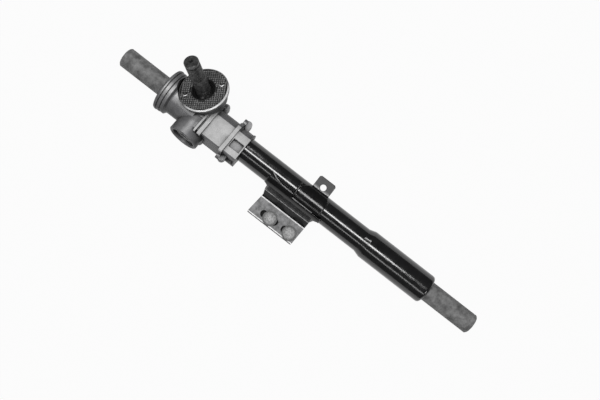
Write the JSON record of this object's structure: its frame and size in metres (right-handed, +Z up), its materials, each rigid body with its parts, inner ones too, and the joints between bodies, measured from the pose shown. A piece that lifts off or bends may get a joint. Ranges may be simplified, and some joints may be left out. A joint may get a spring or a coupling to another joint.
{
  "type": "steering rack",
  "caption": "Rack and pinion steering gear: cast pinion housing, black rack tube with a welded bracket, sliding rack bar and skewed input shaft.",
  "frame": {"origin": "middle of the two bracket bolts, on the bracket's underside", "axes": "+X along the rack bar towards the tube's free end, +Z up from the bracket's mounting face, +Y from the bracket across the tube"},
  "size_m": [0.495, 0.1062, 0.115],
  "materials": {
    "cast_aluminium": "die-cast, lightly blasted",
    "black_enamel": "gloss black enamel",
    "ground_steel": "ground, lightly oiled",
    "dark_steel": "black oxide",
    "knurled_steel": "phosphated, cross-knurled face",
    "zinc_steel": "zinc plated",
    "bearing_steel": "polished",
    "yoke_alloy": "turned",
    "sintered_bronze": "sintered",
    "bush_plastic": "moulded",
    "seal_rubber": "moulded nitrile"
  },
  "bodies": {
    "housing": {"pinion_housing": "cast_aluminium", "rack_tube": "black_enamel", "mounting_bracket": "black_enamel", "side_tab": "black_enamel", "bracket_bolts": "zinc_steel", "bracket_washers": "zinc_steel", "thrust_yoke": "yoke_alloy", "yoke_liner": "sintered_bronze", "yoke_o_ring": "seal_rubber", "yoke_spring": "bearing_steel", "adjuster_plug": "zinc_steel", "ring_nut": "knurled_steel", "shaft_seal": "seal_rubber", "bearing_outer_race": "bearing_steel", "bearing_balls": "bearing_steel", "bearing_cage": "sintered_bronze", "lower_bush": "sintered_bronze", "bore_plug": "zinc_steel", "rack_bush": "bush_plastic", "bush_ring": "bearing_steel"},
    "rack": {"rack_bar": "ground_steel"},
    "pinion": {"pinion_shaft": "dark_steel", "bearing_inner_race": "bearing_steel", "bearing_circlip": "bearing_steel"}
  },
  "joints": [
    {"name": "rack_slide", "type": "slide", "parent": "housing", "child": "rack", "axis": [1, 0, 0], "range_m": [-0.06, 0.036]},
    {"name": "pinion_turn", "type": "hinge", "parent": "housing", "child": "pinion", "pos_m": [-0.146, 0.0608, 0.01558], "axis": [-0.3665, 0.2565, 0.8944], "range_deg": [-492, 296]}
  ],
  "couplings": [
    {"joint": "pinion_turn", "follows": "rack_slide", "rad_per_m": 142.86}
  ]
}
